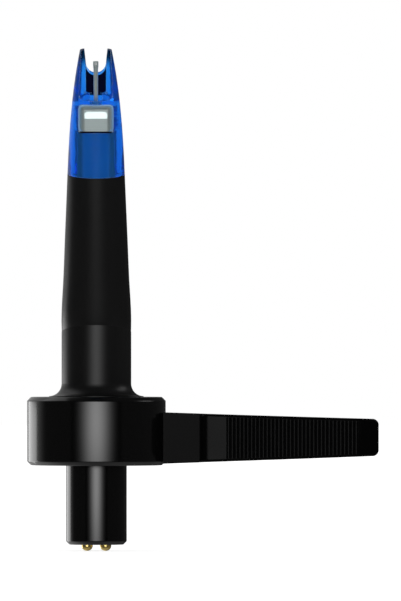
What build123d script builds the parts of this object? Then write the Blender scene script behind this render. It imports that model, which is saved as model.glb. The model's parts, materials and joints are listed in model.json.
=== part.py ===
from build123d import *
import os
from math import asin, cos, radians, sin, sqrt

# One-piece turntable cartridge: a drooping nose on a round collar with a bayonet plug, a finger lift at the
# side and a stylus unit that pulls off the front.
#
# Frame: the origin is the centre of the shoulder, which is the collar's rear face. +Z runs along the plug's
# axis towards the stylus, -Y is the side that faces the record and +X is the finger lift. Millimetres and
# degrees.

# Gaps between pieces
fit = 0.02  # round pieces that are pressed or glued together
seam = 0.03  # between flat faces that meet
slide_gap = 0.06  # round the stylus unit where it slides off the nose
run_gap = 0.08  # round the cantilever where it swings

# Collar
collar_d = 18.0
collar_l = 8.88
collar_chamfer = 0.5

# Bayonet plug, its four contacts and its guide pin
plug_d = 7.9
plug_l = 10.3
plug_wall = 0.95
plug_chamfer = 0.45
plug_seat = 4.4  # length of the barrel inside the collar
carrier_l = 4.0
contact_pitch = 2.4
contact_d = 1.45
contact_dome_r = 0.7
contact_stick_out = 0.8
contact_head_l = 2.2
contact_tail_d = 0.8
contact_tail_l = 4.0
guide_d = 1.7
guide_stick_out = 1.3
guide_from_shoulder = 4.6
guide_edge = 0.25

# Nose: a round neck, then a drooping beak that the stylus unit ends
neck_d = 9.05
neck_foot_r = 1.6
neck_foot_land = 0.08
neck_bore_d = 5.8
crease_z = 17.3  # where the neck ends, on its side lines
crease_slope = 0.2  # the crease lies further forward on the belly than on the back
crease_step = 0.03
droop_deg = 12.0
nose_wall = 0.8
nose_root_half_w = 4.5
nose_taper = 0.0405  # half width lost for each millimetre of length
seam_s = 19.33  # station of the joint between the nose and the stylus unit
tip_s = 36.2  # station of the prong tips
tip_half_w = 2.05
tip_power = 2.6  # how late the beak narrows
nose_root_h = 8.2
tip_h = 2.2
crest_power = 2.4  # how late the back falls away
belly_share = 0.46  # share of the height below the widest line
nose_cavity_s = 3.0  # station where the hollow of the beak starts

# Generator inside the nose
pole_d = 0.6
coil_pole_x = 1.03
coil_pole_h = 1.02
gap_pole_x = 1.7
gap_pole_h = 0.65
generator_h = 3.5  # height of the coils' centre above the belly line
bobbin_flange_d = 1.9
bobbin_flange_t = 0.25
bobbin_wall = 0.12
bobbin_l = 6.8
bobbin_inset = 0.5  # from the can's mouth to the bobbins
coil_d = 1.75
coil_margin = 0.05
yoke_t = 0.8
can_d = 5.3
can_wall = 0.15
can_mouth_s = 17.25
frame_block_l = 2.0
lead_d = 0.3
lead_offset = 0.2
lead_hole_d = 1.2
lead_bend_r = 3.0
lead_turn_s = 5.5
lead_turn_z = 2.0

# Stylus unit
tongue_w = 4.5
tongue_top_h = 4.2
tongue_corner_r = 0.5
housing_floor = 0.6
sleeve_d = 2.5
sleeve_wall = 0.2
sleeve_rear_s = 20.6
sleeve_front_s = 27.0
sleeve_rise = 0.15  # the sleeve's axis lies this far above the pivot
retainer_t = 0.6
tie_d = 0.2
tie_end_gap = 0.25
block_w = 4.42
block_rear_s = 25.4
block_l = 3.63
block_h = 3.3
block_face_h = 0.3  # height of the block's visible face above the belly line
block_corner_r = 0.5
block_bevel_w = 0.62
block_bevel_h = 0.35
passage_w = 1.56
passage_low_h = 0.25
passage_high_h = 2.3
passage_corner_r = 0.52
notch_r = 1.3
notch_bottom_z = 50.9
notch_mouth_half_w = 1.5
notch_mouth_z = 54.0
slot_half_w = 1.34
slot_rear_z = 48.0
slot_roof_h = 2.3
slot_corner_r = 0.5
scoop_rear_half_w = 2.27
scoop_rear_z = 47.3
scoop_tip_half_w = 1.83
scoop_ridge_h = 0.65
scoop_depth = 0.85
scoop_angle = 42.0
scoop_corner_r = 0.8
scoop_run_out = 1.0

# Cantilever
track_deg = 27.0  # angle between the cantilever and the record
pivot_s = 25.0
pivot_h = 2.1
arm_l = 10.25
arm_d = 0.58
arm_wall = 0.09
arm_flat_l = 1.18
arm_flat_w = 0.70
arm_flat_t = 0.34
magnet_d = 0.8
magnet_l = 1.6
magnet_from_pivot = 0.3
damper_d = 1.6
damper_t = 0.5
diamond_side = 0.2
diamond_back = 0.32  # from the cantilever's end to the diamond
diamond_above = 0.2
diamond_below = 0.5
diamond_point = 0.16
diamond_point_side = 0.02

# Finger lift
lift_end_x = 36.72
lift_root_low_z = 0.23
lift_root_high_z = 6.86
lift_end_low_z = 1.17
lift_end_high_z = 5.97
lift_end_r = 0.8
lift_root_t = 4.7  # at the collar
lift_shoulder_t = 3.4
lift_shoulder_x = 13.6
lift_hollow_x = 14.55  # where the hollow ends and the blade starts
lift_curve_x = 16.7  # where the blade starts to curve away
lift_blade_t = 1.7
lift_curve_r = 40.0
lift_edge_r = 0.35
lift_tongue_l = 3.0
lift_tongue_margin = 0.9
rib_count = 34
rib_pitch = 0.495
rib_r = 0.3
rib_h = 0.18  # from the blade's face to a rib's crest
rib_first_x = 17.14
rib_margin = 0.35  # from the blade's long edges to the ribs

# Sizes worked out from the ones above
collar_r = collar_d / 2
plug_r = plug_d / 2
neck_r = neck_d / 2
droop = radians(droop_deg)
belly_y = -neck_r
belly_z = crease_z + crease_slope * neck_r
tip_narrowing = (nose_root_half_w - nose_taper * tip_s - tip_half_w) / (tip_s - seam_s) ** tip_power
sleeve_h = pivot_h + sleeve_rise
block_front_s = block_rear_s + block_l
bobbin_front_s = can_mouth_s - bobbin_inset
bobbin_rear_s = bobbin_front_s - bobbin_l
yoke_front_s = bobbin_rear_s - seam
yoke_rear_s = yoke_front_s - yoke_t
can_rear_s = yoke_rear_s - seam - can_wall
frame_rear_s = can_mouth_s + seam
lift_mid_z = (lift_root_low_z + lift_root_high_z) / 2
corners = [(1, 1), (-1, 1), (-1, -1), (1, -1)]
beyond = 40.0  # long enough to cut right through

os.makedirs("parts", exist_ok=True)


def keep(builder, name):
    """Label a finished piece and write its STEP file."""
    builder.part.label = name
    export_step(builder.part, f"parts/{name}.step")


def nose_point(x, h, s):
    """A point of the nose: x across it, h above the belly line and s along that line from the crease."""
    return Vector(
        x,
        belly_y - s * sin(droop) + h * cos(droop),
        belly_z + s * cos(droop) + h * sin(droop),
    )


def nose_section(s, h=0.0):
    """The plane square to the nose at station s. Its x is across and its y is up."""
    return Plane(nose_point(0, h, s), x_dir=(1, 0, 0), z_dir=(0, -sin(droop), cos(droop)))


def nose_deck(h):
    """The plane along the nose at height h, seen from below. Its x is across and its y is the station."""
    return Plane(nose_point(0, h, 0), x_dir=(1, 0, 0), z_dir=(0, -cos(droop), -sin(droop)))


def half_width(s):
    """Half the nose's width: a straight taper, and ahead of the seam a growing one."""
    return nose_root_half_w - nose_taper * s - tip_narrowing * max(0.0, s - seam_s) ** tip_power


def height(s):
    """The nose's height above its belly line, which falls slowly at first."""
    return nose_root_h - (nose_root_h - tip_h) * (s / tip_s) ** crest_power


def oval(half_w, belly, crest, middle):
    """A section with one half ellipse below its widest line and another above it."""
    with BuildSketch() as section:
        with BuildLine():
            EllipticalCenterArc((0, middle), half_w, belly, 180, arc_size=180)
            EllipticalCenterArc((0, middle), half_w, crest, 0, arc_size=180)
        make_face()
    return section.sketch


def nose_oval(s, inset=0.0):
    """The nose's section at station s, drawn in by the inset."""
    belly = belly_share * height(s)
    return oval(half_width(s) - inset, belly - inset, height(s) - belly - inset, belly)


def spaced(first, last, count):
    """Stations at equal steps, both ends included."""
    return [first + (last - first) * i / (count - 1) for i in range(count)]


crease = Plane((0, 0, crease_z), x_dir=(1, 0, 0), z_dir=(0, crease_slope, 1))
seam_plane = nose_section(seam_s)
arm_plane = Plane(
    nose_point(0, pivot_h, pivot_s),
    x_dir=(1, 0, 0),
    z_dir=(0, -sin(radians(track_deg)), cos(radians(track_deg))),
)

# The outside of the nose and the stylus unit in one form, which the seam divides
with BuildPart() as nose_form:
    with BuildSketch(crease):
        oval_w = neck_r - crease_step
        oval_h = neck_r * sqrt(1 + crease_slope**2) - crease_step
        add(oval(oval_w, oval_h, oval_h, 0))
    for s in spaced(seam_s / 4, seam_s, 4) + spaced(seam_s, tip_s, 6)[1:]:
        with BuildSketch(nose_section(s)):
            add(nose_oval(s))
    loft()

# The hollow of the nose
with BuildPart() as nose_cavity:
    for s in spaced(nose_cavity_s, seam_s + seam, 4):
        with BuildSketch(nose_section(s)):
            add(nose_oval(s, nose_wall))
    loft()

# Rear collar
with BuildPart() as rear_collar:
    with BuildSketch():
        Circle(collar_r)
        Circle(plug_r + fit, mode=Mode.SUBTRACT)
    extrude(amount=collar_l)
    chamfer(rear_collar.edges().filter_by(GeomType.CIRCLE).sort_by(SortBy.RADIUS)[-2:], collar_chamfer)
    with BuildSketch(Plane.YZ.offset(collar_r - lift_tongue_l)):
        with Locations((0, lift_mid_z)):
            Rectangle(
                lift_root_t - lift_tongue_margin + 2 * fit,
                lift_root_high_z - lift_root_low_z - 2 * lift_tongue_margin + 2 * fit,
            )
    extrude(amount=collar_r, mode=Mode.SUBTRACT)
keep(rear_collar, "rear_collar")

# Plug barrel
with BuildPart() as plug_barrel:
    with BuildSketch(Plane.XY.offset(-plug_l)):
        Circle(plug_r)
        Circle(plug_r - plug_wall, mode=Mode.SUBTRACT)
    extrude(amount=plug_l + plug_seat)
    rear_rims = plug_barrel.edges().filter_by(GeomType.CIRCLE).group_by(Axis.Z)[0]
    chamfer(rear_rims.sort_by(SortBy.RADIUS)[-1], plug_chamfer)
    with BuildSketch(Plane.XZ):
        with Locations((0, -guide_from_shoulder)):
            Circle(guide_d / 2 + fit)
    extrude(amount=-plug_d, mode=Mode.SUBTRACT)
keep(plug_barrel, "plug_barrel")

# Guide pin of the bayonet, on the side away from the record
with BuildPart() as guide_pin:
    with BuildSketch(Plane.XZ.offset(-(plug_r - plug_wall))):
        with Locations((0, -guide_from_shoulder)):
            Circle(guide_d / 2)
    extrude(amount=-(plug_wall + guide_stick_out))
    fillet(guide_pin.edges().filter_by(GeomType.CIRCLE).sort_by(Axis.Y)[-1], guide_edge)
keep(guide_pin, "guide_pin")

# Insulator that carries the contacts
with BuildPart() as contact_carrier:
    with BuildSketch(Plane.XY.offset(-plug_l)):
        Circle(plug_r - plug_wall - fit)
    extrude(amount=carrier_l)
    with BuildSketch(Plane.XY.offset(-plug_l)):
        with GridLocations(contact_pitch, contact_pitch, 2, 2):
            Circle(contact_d / 2 + fit)
    extrude(amount=contact_head_l + seam, mode=Mode.SUBTRACT)
    with BuildSketch(Plane.XY.offset(-plug_l)):
        with GridLocations(contact_pitch, contact_pitch, 2, 2):
            Circle(contact_tail_d / 2 + fit)
    extrude(amount=carrier_l, mode=Mode.SUBTRACT)
keep(contact_carrier, "contact_carrier")

# Four domed contacts with solder tails
for number, (side, level) in enumerate(corners, start=1):
    spot = (side * contact_pitch / 2, level * contact_pitch / 2)
    with BuildPart() as contact:
        with BuildSketch(Plane.XY.offset(-plug_l - contact_stick_out)):
            with Locations(spot):
                Circle(contact_d / 2)
        extrude(amount=contact_stick_out + contact_head_l)
        fillet(contact.edges().filter_by(GeomType.CIRCLE).sort_by(Axis.Z)[0], contact_dome_r)
        with BuildSketch(Plane.XY.offset(-plug_l + contact_head_l)):
            with Locations(spot):
                Circle(contact_tail_d / 2)
        extrude(amount=contact_tail_l)
    keep(contact, f"contact_{number}")

# Nose with its neck, hollow for the generator and the leads
with BuildPart() as nose_shell:
    with BuildSketch(Plane.XZ):
        with BuildLine():
            foot = collar_l + seam
            Polyline(
                (neck_r, foot + neck_foot_land + neck_foot_r),
                (neck_r, belly_z + neck_r),
                (0, belly_z + neck_r),
                (0, plug_seat + seam),
                (plug_r, plug_seat + seam),
                (plug_r, foot),
                (neck_r + neck_foot_r, foot),
                (neck_r + neck_foot_r, foot + neck_foot_land),
            )
            RadiusArc(
                (neck_r + neck_foot_r, foot + neck_foot_land),
                (neck_r, foot + neck_foot_land + neck_foot_r),
                neck_foot_r,
            )
        make_face()
    revolve(axis=Axis.Z)
    split(bisect_by=crease, keep=Keep.BOTTOM)
    add(nose_form.part)
    split(bisect_by=seam_plane, keep=Keep.BOTTOM)
    add(nose_cavity.part, mode=Mode.SUBTRACT)
    with BuildSketch(Plane.XY.offset(plug_seat)):
        Circle(neck_bore_d / 2)
    extrude(amount=nose_point(0, generator_h, nose_cavity_s).Z - plug_seat, mode=Mode.SUBTRACT)
keep(nose_shell, "nose_shell")


def pole_route(side, level):
    """The line of one pole piece: straight in the gap, a jog, and straight through its coil."""
    gap_h = sleeve_h + level * gap_pole_h
    coil_h = generator_h + level * coil_pole_h
    jog_front_s = sleeve_rear_s - pole_d
    return [
        nose_point(side * gap_pole_x, gap_h, pivot_s - pole_d / 2),
        nose_point(side * gap_pole_x, gap_h, jog_front_s),
        nose_point(side * coil_pole_x, coil_h, frame_rear_s),
        nose_point(side * coil_pole_x, coil_h, yoke_rear_s),
    ]


def round_bar(points, diameter, bend_r):
    """A round bar along straight runs joined by tangent arcs."""
    with BuildPart() as bar:
        with BuildLine() as route:
            FilletPolyline(points, radius=bend_r)
        with BuildSketch(Plane(points[0], z_dir=points[1] - points[0])):
            Circle(diameter / 2)
        sweep(path=route.wires()[0])
    return bar


# Moulded frame that closes the nose, with the tongue that the stylus unit slides over
with BuildPart() as tongue_form:
    for s in spaced(seam_s - frame_block_l, block_rear_s, 4):
        with BuildSketch(nose_section(s)):
            add(nose_oval(s, housing_floor + slide_gap))
    loft()
    with BuildSketch(nose_section(seam_s)):
        with Locations((0, (tongue_top_h - tongue_w / 2))):
            RectangleRounded(tongue_w, tongue_w, tongue_corner_r)
    extrude(amount=block_rear_s - seam_s - 2 * slide_gap, mode=Mode.INTERSECT)

with BuildPart() as generator_frame:
    for s in spaced(frame_rear_s, seam_s, 3):
        with BuildSketch(nose_section(s)):
            add(nose_oval(s, nose_wall + fit))
    loft()
    add(tongue_form.part)
    with BuildSketch(nose_section(sleeve_rear_s - slide_gap, sleeve_h)):
        Circle(sleeve_d / 2 + slide_gap)
    extrude(amount=beyond, mode=Mode.SUBTRACT)
    for side, level in corners:
        add(round_bar(pole_route(side, level), pole_d + 2 * fit, 2 * pole_d).part, mode=Mode.SUBTRACT)
keep(generator_frame, "generator_frame")

# Pole pieces, bobbins and coils
for number, (side, level) in enumerate(corners, start=1):
    keep(round_bar(pole_route(side, level), pole_d, 2 * pole_d), f"pole_piece_{number}")
    spot = (side * coil_pole_x, level * coil_pole_h)
    tube_r = pole_d / 2 + fit + bobbin_wall
    with BuildPart() as bobbin:
        for start, length, radius in (
            (bobbin_rear_s, bobbin_flange_t, bobbin_flange_d / 2),
            (bobbin_rear_s, bobbin_l, tube_r),
            (bobbin_front_s - bobbin_flange_t, bobbin_flange_t, bobbin_flange_d / 2),
        ):
            with BuildSketch(nose_section(start, generator_h)):
                with Locations(spot):
                    Circle(radius)
            extrude(amount=length)
        with BuildSketch(nose_section(bobbin_rear_s, generator_h)):
            with Locations(spot):
                Circle(pole_d / 2 + fit)
        extrude(amount=bobbin_l, mode=Mode.SUBTRACT)
    keep(bobbin, f"bobbin_{number}")
    with BuildPart() as coil:
        with BuildSketch(nose_section(bobbin_rear_s + bobbin_flange_t + coil_margin, generator_h)):
            with Locations(spot):
                Circle(coil_d / 2)
                Circle(tube_r + fit, mode=Mode.SUBTRACT)
        extrude(amount=bobbin_l - 2 * (bobbin_flange_t + coil_margin))
    keep(coil, f"coil_{number}")

# Yoke that joins the pole pieces behind the coils
with BuildPart() as yoke:
    with BuildSketch(nose_section(yoke_rear_s, generator_h)):
        Circle(can_d / 2 - can_wall - fit)
        Circle(lead_hole_d / 2, mode=Mode.SUBTRACT)
        with GridLocations(2 * coil_pole_x, 2 * coil_pole_h, 2, 2):
            Circle(pole_d / 2 + fit, mode=Mode.SUBTRACT)
    extrude(amount=yoke_t)
keep(yoke, "yoke")

# Screening can round the generator
with BuildPart() as screen_can:
    with BuildSketch(nose_section(can_rear_s, generator_h)):
        Circle(can_d / 2)
    extrude(amount=can_mouth_s - can_rear_s)
    with BuildSketch(nose_section(can_rear_s + can_wall, generator_h)):
        Circle(can_d / 2 - can_wall)
    extrude(amount=can_mouth_s - can_rear_s, mode=Mode.SUBTRACT)
    with BuildSketch(nose_section(can_rear_s, generator_h)):
        Circle(lead_hole_d / 2)
    extrude(amount=can_wall, mode=Mode.SUBTRACT)
keep(screen_can, "screen_can")

# Leads from the coils to the contacts
for number, (side, level) in enumerate(corners, start=1):
    lead_h = generator_h + level * lead_offset
    contact_x, contact_y = side * contact_pitch / 2, level * contact_pitch / 2
    route = [
        nose_point(side * lead_offset, lead_h, bobbin_rear_s + bobbin_flange_t),
        nose_point(side * lead_offset, lead_h, lead_turn_s),
        Vector(contact_x, contact_y, lead_turn_z),
        Vector(contact_x, contact_y, -plug_l + contact_head_l + contact_tail_l + seam),
    ]
    keep(round_bar(route, lead_d, lead_bend_r), f"lead_{number}")


def lift_low_z(x):
    """The finger lift's lower edge."""
    share = (x - collar_r) / (lift_end_x - collar_r)
    return lift_root_low_z + share * (lift_end_low_z - lift_root_low_z)


def lift_high_z(x):
    """The finger lift's upper edge."""
    share = (x - collar_r) / (lift_end_x - collar_r)
    return lift_root_high_z + share * (lift_end_high_z - lift_root_high_z)


def blade_lean(x):
    """How far the blade has turned away from the record, in radians."""
    return asin(max(0.0, x - lift_curve_x) / lift_curve_r)


def blade_point(lean, out):
    """A point of the blade's section, out from its middle towards the record."""
    reach = lift_curve_r + out
    return (lift_curve_x + reach * sin(lean), lift_curve_r - reach * cos(lean))


# Round ribs side by side along the blade's two faces
with BuildPart() as lift_ribs:
    rib_leans = [blade_lean(rib_first_x + i * rib_pitch) for i in range(rib_count)]
    rib_out = lift_blade_t / 2 + rib_h - rib_r
    with BuildSketch(Plane.XY.offset(lift_mid_z)):
        for side in (-1, 1):
            with Locations(*[blade_point(lean, side * rib_out) for lean in rib_leans]):
                Circle(rib_r)
    extrude(amount=collar_l, both=True)
    with BuildSketch(Plane.XZ):
        with BuildLine():
            Polyline(
                (lift_curve_x, lift_low_z(lift_curve_x) + rib_margin),
                (lift_end_x, lift_low_z(lift_end_x) + rib_margin),
                (lift_end_x, lift_high_z(lift_end_x) - rib_margin),
                (lift_curve_x, lift_high_z(lift_curve_x) - rib_margin),
                close=True,
            )
        make_face()
    extrude(amount=beyond, both=True, mode=Mode.INTERSECT)

# Finger lift: a thick tapered root, a hollow and a thin curved blade with ribs on its two faces
with BuildPart() as finger_lift:
    half_t = lift_blade_t / 2
    shoulder = lift_shoulder_t / 2
    root_slope = (lift_root_t / 2 - shoulder) / (lift_shoulder_x - collar_r)
    axis_t = shoulder + root_slope * lift_shoulder_x
    hollow_rise = shoulder - half_t
    hollow_run = lift_hollow_x - lift_shoulder_x
    hollow_r = (hollow_run**2 + hollow_rise**2) / (2 * hollow_rise)
    end_lean = blade_lean(lift_end_x + lift_blade_t)
    with BuildSketch(Plane.XY.offset(lift_mid_z)):
        with BuildLine():
            Polyline((lift_shoulder_x, -shoulder), (0, -axis_t), (0, axis_t), (lift_shoulder_x, shoulder))
            RadiusArc((lift_shoulder_x, shoulder), (lift_hollow_x, half_t), -hollow_r)
            Line((lift_hollow_x, half_t), (lift_curve_x, half_t))
            ThreePointArc(*[blade_point(lean, -half_t) for lean in (0, end_lean / 2, end_lean)])
            Line(blade_point(end_lean, -half_t), blade_point(end_lean, half_t))
            ThreePointArc(*[blade_point(lean, half_t) for lean in (end_lean, end_lean / 2, 0)])
            Line((lift_curve_x, -half_t), (lift_hollow_x, -half_t))
            RadiusArc((lift_hollow_x, -half_t), (lift_shoulder_x, -shoulder), -hollow_r)
        make_face()
    extrude(amount=collar_l, both=True)
    with BuildSketch(Plane.XZ):
        with BuildLine():
            Polyline(
                (0, lift_low_z(0)),
                (lift_end_x, lift_end_low_z),
                (lift_end_x, lift_end_high_z),
                (0, lift_high_z(0)),
                close=True,
            )
        make_face()
        fillet(vertices().sort_by(Axis.X)[-2:], lift_end_r)
    extrude(amount=beyond, both=True, mode=Mode.INTERSECT)
    with BuildSketch():
        Circle(collar_r + fit)
    extrude(amount=beyond, both=True, mode=Mode.SUBTRACT)
    fillet(finger_lift.edges().filter_by(lambda edge: edge.bounding_box().min.X > collar_r), lift_edge_r)
    add(lift_ribs.part)
    with BuildSketch(Plane.YZ.offset(collar_r - lift_tongue_l + seam)):
        with Locations((0, lift_mid_z)):
            Rectangle(
                lift_root_t - lift_tongue_margin,
                lift_root_high_z - lift_root_low_z - 2 * lift_tongue_margin,
            )
    extrude(amount=lift_tongue_l + lift_edge_r)
keep(finger_lift, "finger_lift")

# Transparent stylus housing with a forked beak
with BuildPart() as housing_hollow:
    for s in spaced(seam_s - frame_block_l, block_front_s, 4):
        with BuildSketch(nose_section(s)):
            add(nose_oval(s, housing_floor))
    loft()
    with BuildSketch(nose_section(seam_s)):
        with Locations((0, tongue_top_h + slide_gap - tongue_w / 2)):
            RectangleRounded(tongue_w + 2 * slide_gap, tongue_w, tongue_corner_r)
    extrude(amount=block_rear_s - seam_s + seam, mode=Mode.INTERSECT)

with BuildPart() as stylus_housing:
    add(nose_form.part)
    split(bisect_by=nose_section(seam_s + seam), keep=Keep.TOP)
    add(housing_hollow.part, mode=Mode.SUBTRACT)
    with BuildSketch(nose_deck(block_face_h + block_h + seam)):
        with Locations((0, block_rear_s + block_l / 2)):
            Rectangle(block_w + 2 * fit, block_l + 2 * fit)
        fillet(vertices().group_by(Axis.Y)[-1], block_corner_r)
    extrude(amount=beyond, mode=Mode.SUBTRACT)
    with BuildSketch(Plane.XZ):
        with BuildLine():
            notch_centre_z = notch_bottom_z + notch_r
            mouth = notch_mouth_half_w + (notch_mouth_half_w - notch_r)
            mouth_z = notch_mouth_z + (notch_mouth_z - notch_centre_z)
            Polyline(
                (notch_r, notch_centre_z),
                (mouth, mouth_z),
                (-mouth, mouth_z),
                (-notch_r, notch_centre_z),
            )
            ThreePointArc((-notch_r, notch_centre_z), (0, notch_bottom_z), (notch_r, notch_centre_z))
        make_face()
    extrude(amount=beyond, both=True, mode=Mode.SUBTRACT)
    slot_rear_s = (slot_rear_z - belly_z - scoop_ridge_h * sin(droop)) / cos(droop)
    with BuildSketch(nose_deck(slot_roof_h)):
        with Locations((0, slot_rear_s + beyond / 2)):
            Rectangle(2 * slot_half_w, beyond)
        fillet(vertices().group_by(Axis.Y)[0], slot_corner_r)
    extrude(amount=beyond, mode=Mode.SUBTRACT)
    scoop_rear_s = (scoop_rear_z - belly_z - scoop_ridge_h * sin(droop)) / cos(droop)
    with BuildSketch(nose_deck(scoop_ridge_h)) as scoop:
        with BuildLine():
            Polyline(
                (-scoop_rear_half_w, scoop_rear_s),
                (scoop_rear_half_w, scoop_rear_s),
                (scoop_tip_half_w, tip_s + scoop_run_out),
                (-scoop_tip_half_w, tip_s + scoop_run_out),
                close=True,
            )
        make_face()
        fillet(vertices().group_by(Axis.Y)[0], scoop_corner_r)
    extrude(amount=-scoop_depth, taper=scoop_angle, mode=Mode.SUBTRACT)
    extrude(scoop.sketch, amount=2 * scoop_depth, mode=Mode.SUBTRACT)
    with BuildSketch(nose_section(block_front_s - block_corner_r)):
        with Locations((0, (passage_low_h + passage_high_h) / 2)):
            RectangleRounded(passage_w, passage_high_h - passage_low_h, passage_corner_r)
    extrude(amount=slot_rear_s - block_front_s + 2 * block_corner_r, mode=Mode.SUBTRACT)
keep(stylus_housing, "stylus_housing")


def block_outline(inset, corner_r):
    """The block seen from below, drawn in at its front and sides: its front corners are rounded."""
    with BuildSketch() as outline:
        with Locations((0, block_rear_s + (block_l - inset) / 2)):
            Rectangle(block_w - 2 * inset, block_l - inset)
        fillet(vertices().group_by(Axis.Y)[-1], corner_r)
    return outline.sketch


# Silver block that holds the sleeve in the housing, with a sloping border round its face
with BuildPart() as stylus_block:
    with BuildSketch(nose_deck(block_face_h + block_bevel_h)):
        add(block_outline(0, block_corner_r))
    extrude(amount=-(block_h - block_bevel_h))
    with BuildSketch(nose_deck(block_face_h + block_bevel_h)):
        add(block_outline(0, block_corner_r))
    with BuildSketch(nose_deck(block_face_h)):
        add(block_outline(block_bevel_w, block_corner_r / 2))
    loft(ruled=True)
    with BuildSketch(nose_section(block_rear_s, sleeve_h)):
        Circle(sleeve_d / 2 + fit)
    extrude(amount=sleeve_front_s - block_rear_s + seam, mode=Mode.SUBTRACT)
    with BuildSketch(nose_section(sleeve_front_s)):
        with Locations((0, (passage_low_h + block_face_h + passage_high_h) / 2)):
            RectangleRounded(passage_w, passage_high_h - passage_low_h - block_face_h, passage_corner_r)
    extrude(amount=block_l, mode=Mode.SUBTRACT)
keep(stylus_block, "stylus_block")

# Sleeve that carries the suspension into the tongue
with BuildPart() as magnet_sleeve:
    with BuildSketch(nose_section(sleeve_rear_s, sleeve_h)):
        Circle(sleeve_d / 2)
        Circle(sleeve_d / 2 - sleeve_wall, mode=Mode.SUBTRACT)
    extrude(amount=sleeve_front_s - sleeve_rear_s)
keep(magnet_sleeve, "magnet_sleeve")

# Retainer in the sleeve's rear end, and the tie wire that it holds
magnet_rear = magnet_from_pivot + magnet_l
tie_start = nose_point(0, sleeve_h, sleeve_rear_s)
tie_target = arm_plane.from_local_coords((0, 0, -magnet_rear))
tie_run = tie_target - tie_start
tie_plane = Plane(tie_start, x_dir=(1, 0, 0), z_dir=tie_run)

with BuildPart() as tie_retainer:
    with BuildSketch(nose_section(sleeve_rear_s, sleeve_h)):
        Circle(sleeve_d / 2 - sleeve_wall - fit)
    extrude(amount=retainer_t)
    with BuildSketch(tie_plane):
        Circle(tie_d / 2 + fit)
    extrude(amount=beyond, both=True, mode=Mode.SUBTRACT)
keep(tie_retainer, "tie_retainer")

with BuildPart() as tie_wire:
    with BuildSketch(tie_plane):
        Circle(tie_d / 2)
    extrude(amount=tie_run.length - tie_end_gap)
keep(tie_wire, "tie_wire")

# Rubber damper round the pivot
with BuildPart() as damper_ring:
    with BuildSketch(arm_plane.offset(-damper_t / 2)):
        Circle(damper_d / 2)
        Circle(arm_d / 2 + run_gap, mode=Mode.SUBTRACT)
    extrude(amount=damper_t)
keep(damper_ring, "damper_ring")

# Cantilever: a thin tube with a flattened end for the diamond
diamond_spot = arm_plane.from_local_coords((0, 0, arm_l - diamond_back))

with BuildPart() as cantilever:
    with BuildSketch(arm_plane.offset(-magnet_rear)):
        Circle(arm_d / 2)
    extrude(amount=magnet_rear + arm_l - arm_flat_l)
    with BuildSketch(arm_plane.offset(arm_l - arm_flat_l)):
        Circle(arm_d / 2)
    with BuildSketch(arm_plane.offset(arm_l - arm_flat_l / 2)):
        Ellipse(arm_flat_w / 2, arm_flat_t / 2)
    loft()
    with BuildSketch(arm_plane.offset(arm_l - arm_flat_l / 2)):
        Ellipse(arm_flat_w / 2, arm_flat_t / 2)
    extrude(amount=arm_flat_l / 2)
    with BuildSketch(arm_plane.offset(-magnet_rear)):
        Circle(arm_d / 2 - arm_wall)
    extrude(amount=magnet_rear + arm_l - arm_flat_l, mode=Mode.SUBTRACT)
    with BuildSketch(Plane(diamond_spot, x_dir=(1, 0, 0), z_dir=(0, -1, 0))):
        Rectangle(diamond_side + 2 * fit, diamond_side + 2 * fit)
    extrude(amount=beyond, both=True, mode=Mode.SUBTRACT)
keep(cantilever, "cantilever")

# Diamond, square to the record
with BuildPart() as diamond_tip:
    with BuildSketch(Plane(diamond_spot + Vector(0, diamond_above, 0), x_dir=(1, 0, 0), z_dir=(0, -1, 0))):
        Rectangle(diamond_side, diamond_side)
    extrude(amount=diamond_above + diamond_below - diamond_point)
    point_plane = Plane(
        diamond_spot - Vector(0, diamond_below - diamond_point, 0), x_dir=(1, 0, 0), z_dir=(0, -1, 0)
    )
    with BuildSketch(point_plane):
        Rectangle(diamond_side, diamond_side)
    with BuildSketch(point_plane.offset(diamond_point)):
        Rectangle(diamond_point_side, diamond_point_side)
    loft()
keep(diamond_tip, "diamond_tip")

# Magnet on the cantilever's inner end
with BuildPart() as magnet:
    with BuildSketch(arm_plane.offset(-magnet_rear)):
        Circle(magnet_d / 2)
        Circle(arm_d / 2 + fit, mode=Mode.SUBTRACT)
    extrude(amount=magnet_l)
keep(magnet, "magnet")
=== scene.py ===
"""Looks of a turntable stylus cartridge, laid out as an add-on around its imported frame."""

import json
from math import cos, pi, radians, sin

import bmesh
import bpy
import numpy as np
from bpy.props import FloatProperty, FloatVectorProperty, IntProperty, PointerProperty
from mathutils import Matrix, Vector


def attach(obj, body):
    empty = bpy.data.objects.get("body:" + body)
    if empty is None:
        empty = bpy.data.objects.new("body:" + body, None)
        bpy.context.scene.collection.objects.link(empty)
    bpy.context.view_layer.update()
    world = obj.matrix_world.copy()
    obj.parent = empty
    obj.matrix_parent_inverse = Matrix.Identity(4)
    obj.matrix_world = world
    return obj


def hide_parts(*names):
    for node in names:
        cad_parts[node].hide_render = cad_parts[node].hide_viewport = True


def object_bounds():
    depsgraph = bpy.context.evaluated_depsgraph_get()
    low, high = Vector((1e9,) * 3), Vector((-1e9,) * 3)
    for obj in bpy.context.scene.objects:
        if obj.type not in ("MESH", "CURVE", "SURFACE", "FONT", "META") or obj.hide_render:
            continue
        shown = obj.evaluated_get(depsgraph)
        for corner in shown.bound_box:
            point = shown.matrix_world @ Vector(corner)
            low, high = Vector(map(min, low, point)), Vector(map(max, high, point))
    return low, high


bl_info = {
    "name": "Stylus cartridge looks",
    "version": (1, 0, 0),
    "blender": (4, 5, 0),
    "location": "3D View > Sidebar > Cartridge",
    "description": "Turned, moulded and plated pieces, finishes and a studio for a stylus cartridge",
    "category": "Object",
}

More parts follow.
